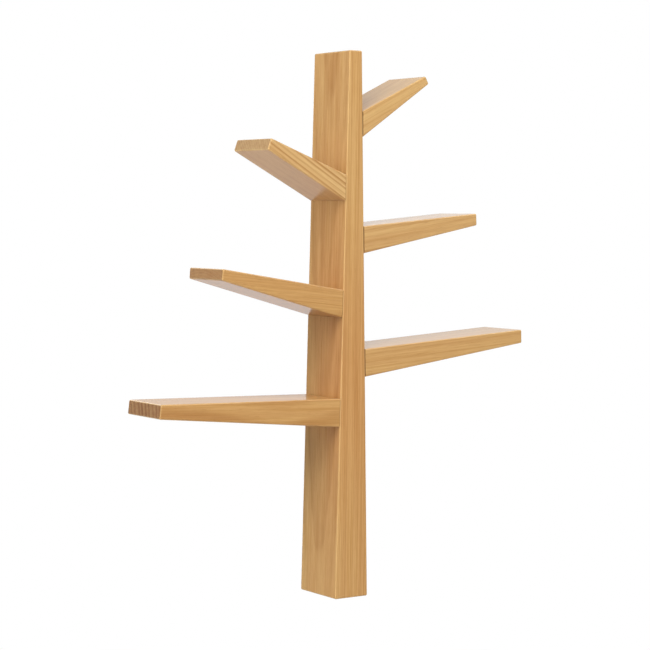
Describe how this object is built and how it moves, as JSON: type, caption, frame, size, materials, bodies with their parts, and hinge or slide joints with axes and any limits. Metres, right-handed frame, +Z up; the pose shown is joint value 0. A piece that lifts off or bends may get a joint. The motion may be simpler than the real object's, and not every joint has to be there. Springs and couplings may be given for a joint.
{
  "type": "tree shaped bookshelf",
  "caption": "Wall-held bookcase shaped like a tree: a tapered wooden trunk with slanting, tapered branches on both sides that serve as shelves.",
  "frame": {"origin": "middle of the trunk's flat back face, on the wall plane, half way up the trunk and 610 mm above its foot", "axes": "+Z up along the trunk, +Y square into the wall, +X to the right as seen from the front"},
  "size_m": [0.9814, 0.14, 1.22],
  "materials": {
    "pine_trunk": "honey-stained solid pine, satin lacquer, grain upright",
    "pine_branch": "honey-stained solid pine, satin lacquer, grain along the branch",
    "dowel_beech": "plain turned beech",
    "bolt_steel": "bright zinc-plated steel",
    "cam_zinc": "die-cast zinc, satin",
    "hanger_plate": "pressed zinc-plated steel",
    "screw_steel": "zinc-plated steel"
  },
  "bodies": {
    "root": {"trunk": "pine_trunk", "branch_left_low": "pine_branch", "branch_left_middle": "pine_branch", "branch_left_high": "pine_branch", "branch_right_low": "pine_branch", "branch_right_middle": "pine_branch", "branch_right_high": "pine_branch", "cam_bolt_left_low_upper": "bolt_steel", "cam_bolt_left_low_lower": "bolt_steel", "cam_bolt_left_middle_upper": "bolt_steel", "cam_bolt_left_middle_lower": "bolt_steel", "cam_bolt_left_high_upper": "bolt_steel", "cam_bolt_left_high_lower": "bolt_steel", "cam_bolt_right_low_upper": "bolt_steel", "cam_bolt_right_low_lower": "bolt_steel", "cam_bolt_right_middle_upper": "bolt_steel", "cam_bolt_right_middle_lower": "bolt_steel", "cam_bolt_right_high_upper": "bolt_steel", "cam_bolt_right_high_lower": "bolt_steel", "cam_lock_left_low_upper": "cam_zinc", "cam_lock_left_low_lower": "cam_zinc", "cam_lock_left_middle_upper": "cam_zinc", "cam_lock_left_middle_lower": "cam_zinc", "cam_lock_left_high_upper": "cam_zinc", "cam_lock_left_high_lower": "cam_zinc", "cam_lock_right_low_upper": "cam_zinc", "cam_lock_right_low_lower": "cam_zinc", "cam_lock_right_middle_upper": "cam_zinc", "cam_lock_right_middle_lower": "cam_zinc", "cam_lock_right_high_upper": "cam_zinc", "cam_lock_right_high_lower": "cam_zinc", "dowel_left_low_front": "dowel_beech", "dowel_left_low_rear": "dowel_beech", "dowel_left_middle_front": "dowel_beech", "dowel_left_middle_rear": "dowel_beech", "dowel_left_high_front": "dowel_beech", "dowel_left_high_rear": "dowel_beech", "dowel_right_low_front": "dowel_beech", "dowel_right_low_rear": "dowel_beech", "dowel_right_middle_front": "dowel_beech", "dowel_right_middle_rear": "dowel_beech", "dowel_right_high_front": "dowel_beech", "dowel_right_high_rear": "dowel_beech", "hanger_upper": "hanger_plate", "hanger_lower": "hanger_plate", "hanger_screw_upper_upper": "screw_steel", "hanger_screw_upper_lower": "screw_steel", "hanger_screw_lower_upper": "screw_steel", "hanger_screw_lower_lower": "screw_steel"}
  },
  "joints": []
}
